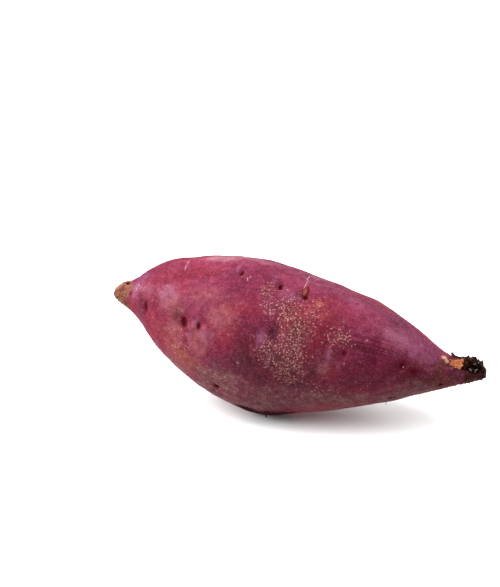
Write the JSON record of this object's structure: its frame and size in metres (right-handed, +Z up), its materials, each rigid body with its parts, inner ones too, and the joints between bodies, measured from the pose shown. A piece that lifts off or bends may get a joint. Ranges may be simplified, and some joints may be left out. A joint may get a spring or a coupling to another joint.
{
  "type": "sweet potato",
  "caption": "Whole spindle-shaped storage root with purple-red skin, shallow eyes, a blunt corky root end and a snapped, hollowed stem end, lying on a small flat spot.",
  "frame": {"origin": "on the floor, under the middle of the root's box", "axes": "+X along the root towards the snapped stem end, +Z up; the side that the picture shows faces -Y"},
  "size_m": [0.1648, 0.0676, 0.0654],
  "materials": {
    "skin": "thin purple-red root skin, satin, mottled with tan cork specks and scars"
  },
  "bodies": {
    "root": {"sweet_potato": "skin"}
  },
  "joints": []
}
